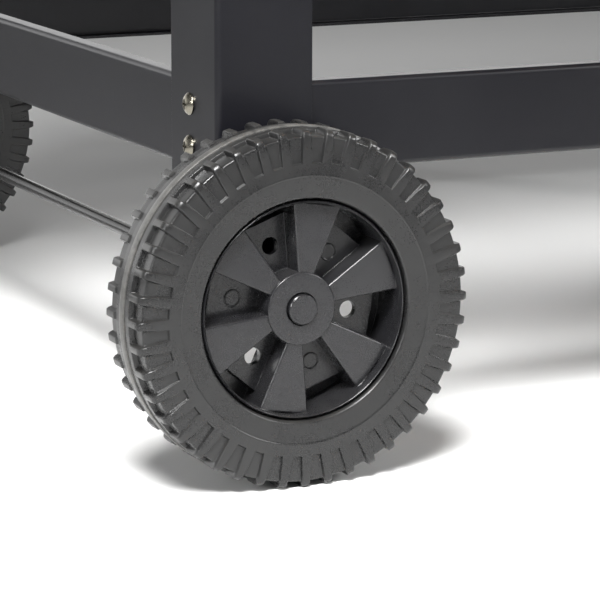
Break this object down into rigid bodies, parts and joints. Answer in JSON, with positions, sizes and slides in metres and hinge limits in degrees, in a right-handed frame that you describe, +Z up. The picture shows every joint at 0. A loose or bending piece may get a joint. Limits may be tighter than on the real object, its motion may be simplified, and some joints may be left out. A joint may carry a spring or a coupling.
{
  "type": "offset smoker",
  "caption": "Wheeled offset smoker: a horizontal barrel cook chamber with side firebox, chimney, lids, door, ash drawer, folding shelf and grease bucket.",
  "frame": {"origin": "on the ground, under the middle of the smoker's bounding box", "axes": "+X along the barrel from the firebox to the chimney, +Y from the front to the back, +Z up"},
  "size_m": [1.266, 0.9266, 1.265],
  "materials": {
    "cart_paint": "satin black powder coat",
    "axle_paint": "dark painted round bar",
    "barrel_paint": "heat-resistant matt black paint",
    "zinc": "zinc plated",
    "handle_steel": "bright steel",
    "tyre_plastic": "moulded dark grey plastic",
    "wheel_plastic": "moulded dark grey plastic",
    "foot_plastic": "moulded black plastic",
    "wood": "oiled hardwood",
    "thermometer_steel": "satin",
    "needle_paint": "gloss red",
    "glass": "clear",
    "damper_steel": "bare steel",
    "drawer_steel": "galvanised",
    "grate_steel": "seasoned steel rod"
  },
  "bodies": {
    "cart": {"legs_wheel_end": "cart_paint", "legs_chimney_end": "cart_paint", "long_rails": "cart_paint", "end_rails": "cart_paint", "saddles": "cart_paint", "shelf_brackets": "cart_paint", "pull_handle": "cart_paint", "axle": "axle_paint", "axle_spacers": "zinc", "axle_nuts": "zinc", "frame_screws": "zinc", "frame_nuts": "zinc", "feet": "foot_plastic", "axle_caps": "wheel_plastic", "chamber_tub": "barrel_paint", "firebox_tub": "barrel_paint", "tub_hinge_leaves": "barrel_paint", "lid_hinge_pins": "zinc", "chimney_elbow": "barrel_paint", "chimney_pipe": "barrel_paint", "chimney_cap_lug": "barrel_paint", "chimney_cap_pin": "zinc", "door_hinge_fixed_leaves": "barrel_paint", "door_hinge_pins": "zinc", "door_latch_pin": "zinc", "inner_ledges": "drawer_steel", "cooking_grates": "grate_steel", "charcoal_grate": "grate_steel", "shelf_pins": "zinc", "drain_spout": "drawer_steel", "bucket_hook": "zinc", "pull_handle_grip": "wood"},
    "near_wheel": {"near_tyre": "tyre_plastic", "near_wheel_hub": "wheel_plastic"},
    "far_wheel": {"far_tyre": "tyre_plastic", "far_wheel_hub": "wheel_plastic"},
    "cook_lid": {"chamber_lid": "barrel_paint", "chamber_lid_hinge_leaves": "barrel_paint", "chamber_handle_frame": "handle_steel", "chamber_handle_grip": "wood", "thermometer_case": "thermometer_steel", "thermometer_glass": "glass"},
    "needle": {"thermometer_needle": "needle_paint"},
    "fire_lid": {"firebox_lid": "barrel_paint", "firebox_lid_hinge_leaves": "barrel_paint", "firebox_handle_frame": "handle_steel", "firebox_handle_grip": "wood"},
    "fire_door": {"firebox_door": "barrel_paint", "door_hinge_moving_leaves": "barrel_paint", "door_knob": "wood", "air_damper_pin": "zinc"},
    "damper": {"air_damper": "damper_steel"},
    "latch": {"door_latch": "damper_steel"},
    "drawer": {"ash_drawer": "drawer_steel", "ash_drawer_pull": "handle_steel"},
    "cap": {"chimney_cap": "barrel_paint"},
    "shelf": {"shelf_arms": "cart_paint", "shelf_slats": "wood"},
    "bucket": {"grease_bucket": "drawer_steel", "bucket_bail": "zinc"}
  },
  "joints": [
    {"name": "near_wheel_spin", "type": "hinge", "parent": "cart", "child": "near_wheel", "pos_m": [-0.198, -0.24525, 0.098], "axis": [0, 1, 0], "continuous": true},
    {"name": "far_wheel_spin", "type": "hinge", "parent": "cart", "child": "far_wheel", "pos_m": [-0.198, 0.43875, 0.098], "axis": [0, 1, 0], "continuous": true},
    {"name": "cook_lid_hinge", "type": "hinge", "parent": "cart", "child": "cook_lid", "pos_m": [0.134, 0.23688, 0.927], "axis": [-1, 0, 0], "range_deg": [0, 85]},
    {"name": "needle_turn", "type": "hinge", "parent": "cook_lid", "child": "needle", "pos_m": [0.134, -0.01665, 0.94148], "axis": [0, 0.5299, -0.848], "range_deg": [0, 240]},
    {"name": "fire_lid_hinge", "type": "hinge", "parent": "cart", "child": "fire_lid", "pos_m": [-0.421, 0.20795, 0.78253], "axis": [-1, 0, 0], "range_deg": [0, 85]},
    {"name": "fire_door_hinge", "type": "hinge", "parent": "cart", "child": "fire_door", "pos_m": [-0.602, 0.19475, 0.625], "axis": [0, 0, -1], "range_deg": [0, 110]},
    {"name": "air_damper_turn", "type": "hinge", "parent": "fire_door", "child": "damper", "pos_m": [-0.6, 0.09675, 0.625], "axis": [1, 0, 0], "range_deg": [0, 45]},
    {"name": "latch_turn", "type": "hinge", "parent": "cart", "child": "latch", "pos_m": [-0.601, -0.01525, 0.645], "axis": [1, 0, 0], "range_deg": [0, 90]},
    {"name": "ash_drawer_slide", "type": "slide", "parent": "cart", "child": "drawer", "axis": [-1, 0, 0], "range_m": [0, 0.26]},
    {"name": "chimney_cap_turn", "type": "hinge", "parent": "cart", "child": "cap", "pos_m": [0.589, 0.18675, 1.261], "axis": [0, 0, 1], "range_deg": [0, 110]},
    {"name": "shelf_fold", "type": "hinge", "parent": "cart", "child": "shelf", "pos_m": [0.134, -0.22825, 0.6], "axis": [1, 0, 0], "range_deg": [0, 90]},
    {"name": "bucket_swing", "type": "hinge", "parent": "cart", "child": "bucket", "pos_m": [0.374, 0.07175, 0.5123], "axis": [1, 0, 0], "range_deg": [-25, 25]}
  ]
}
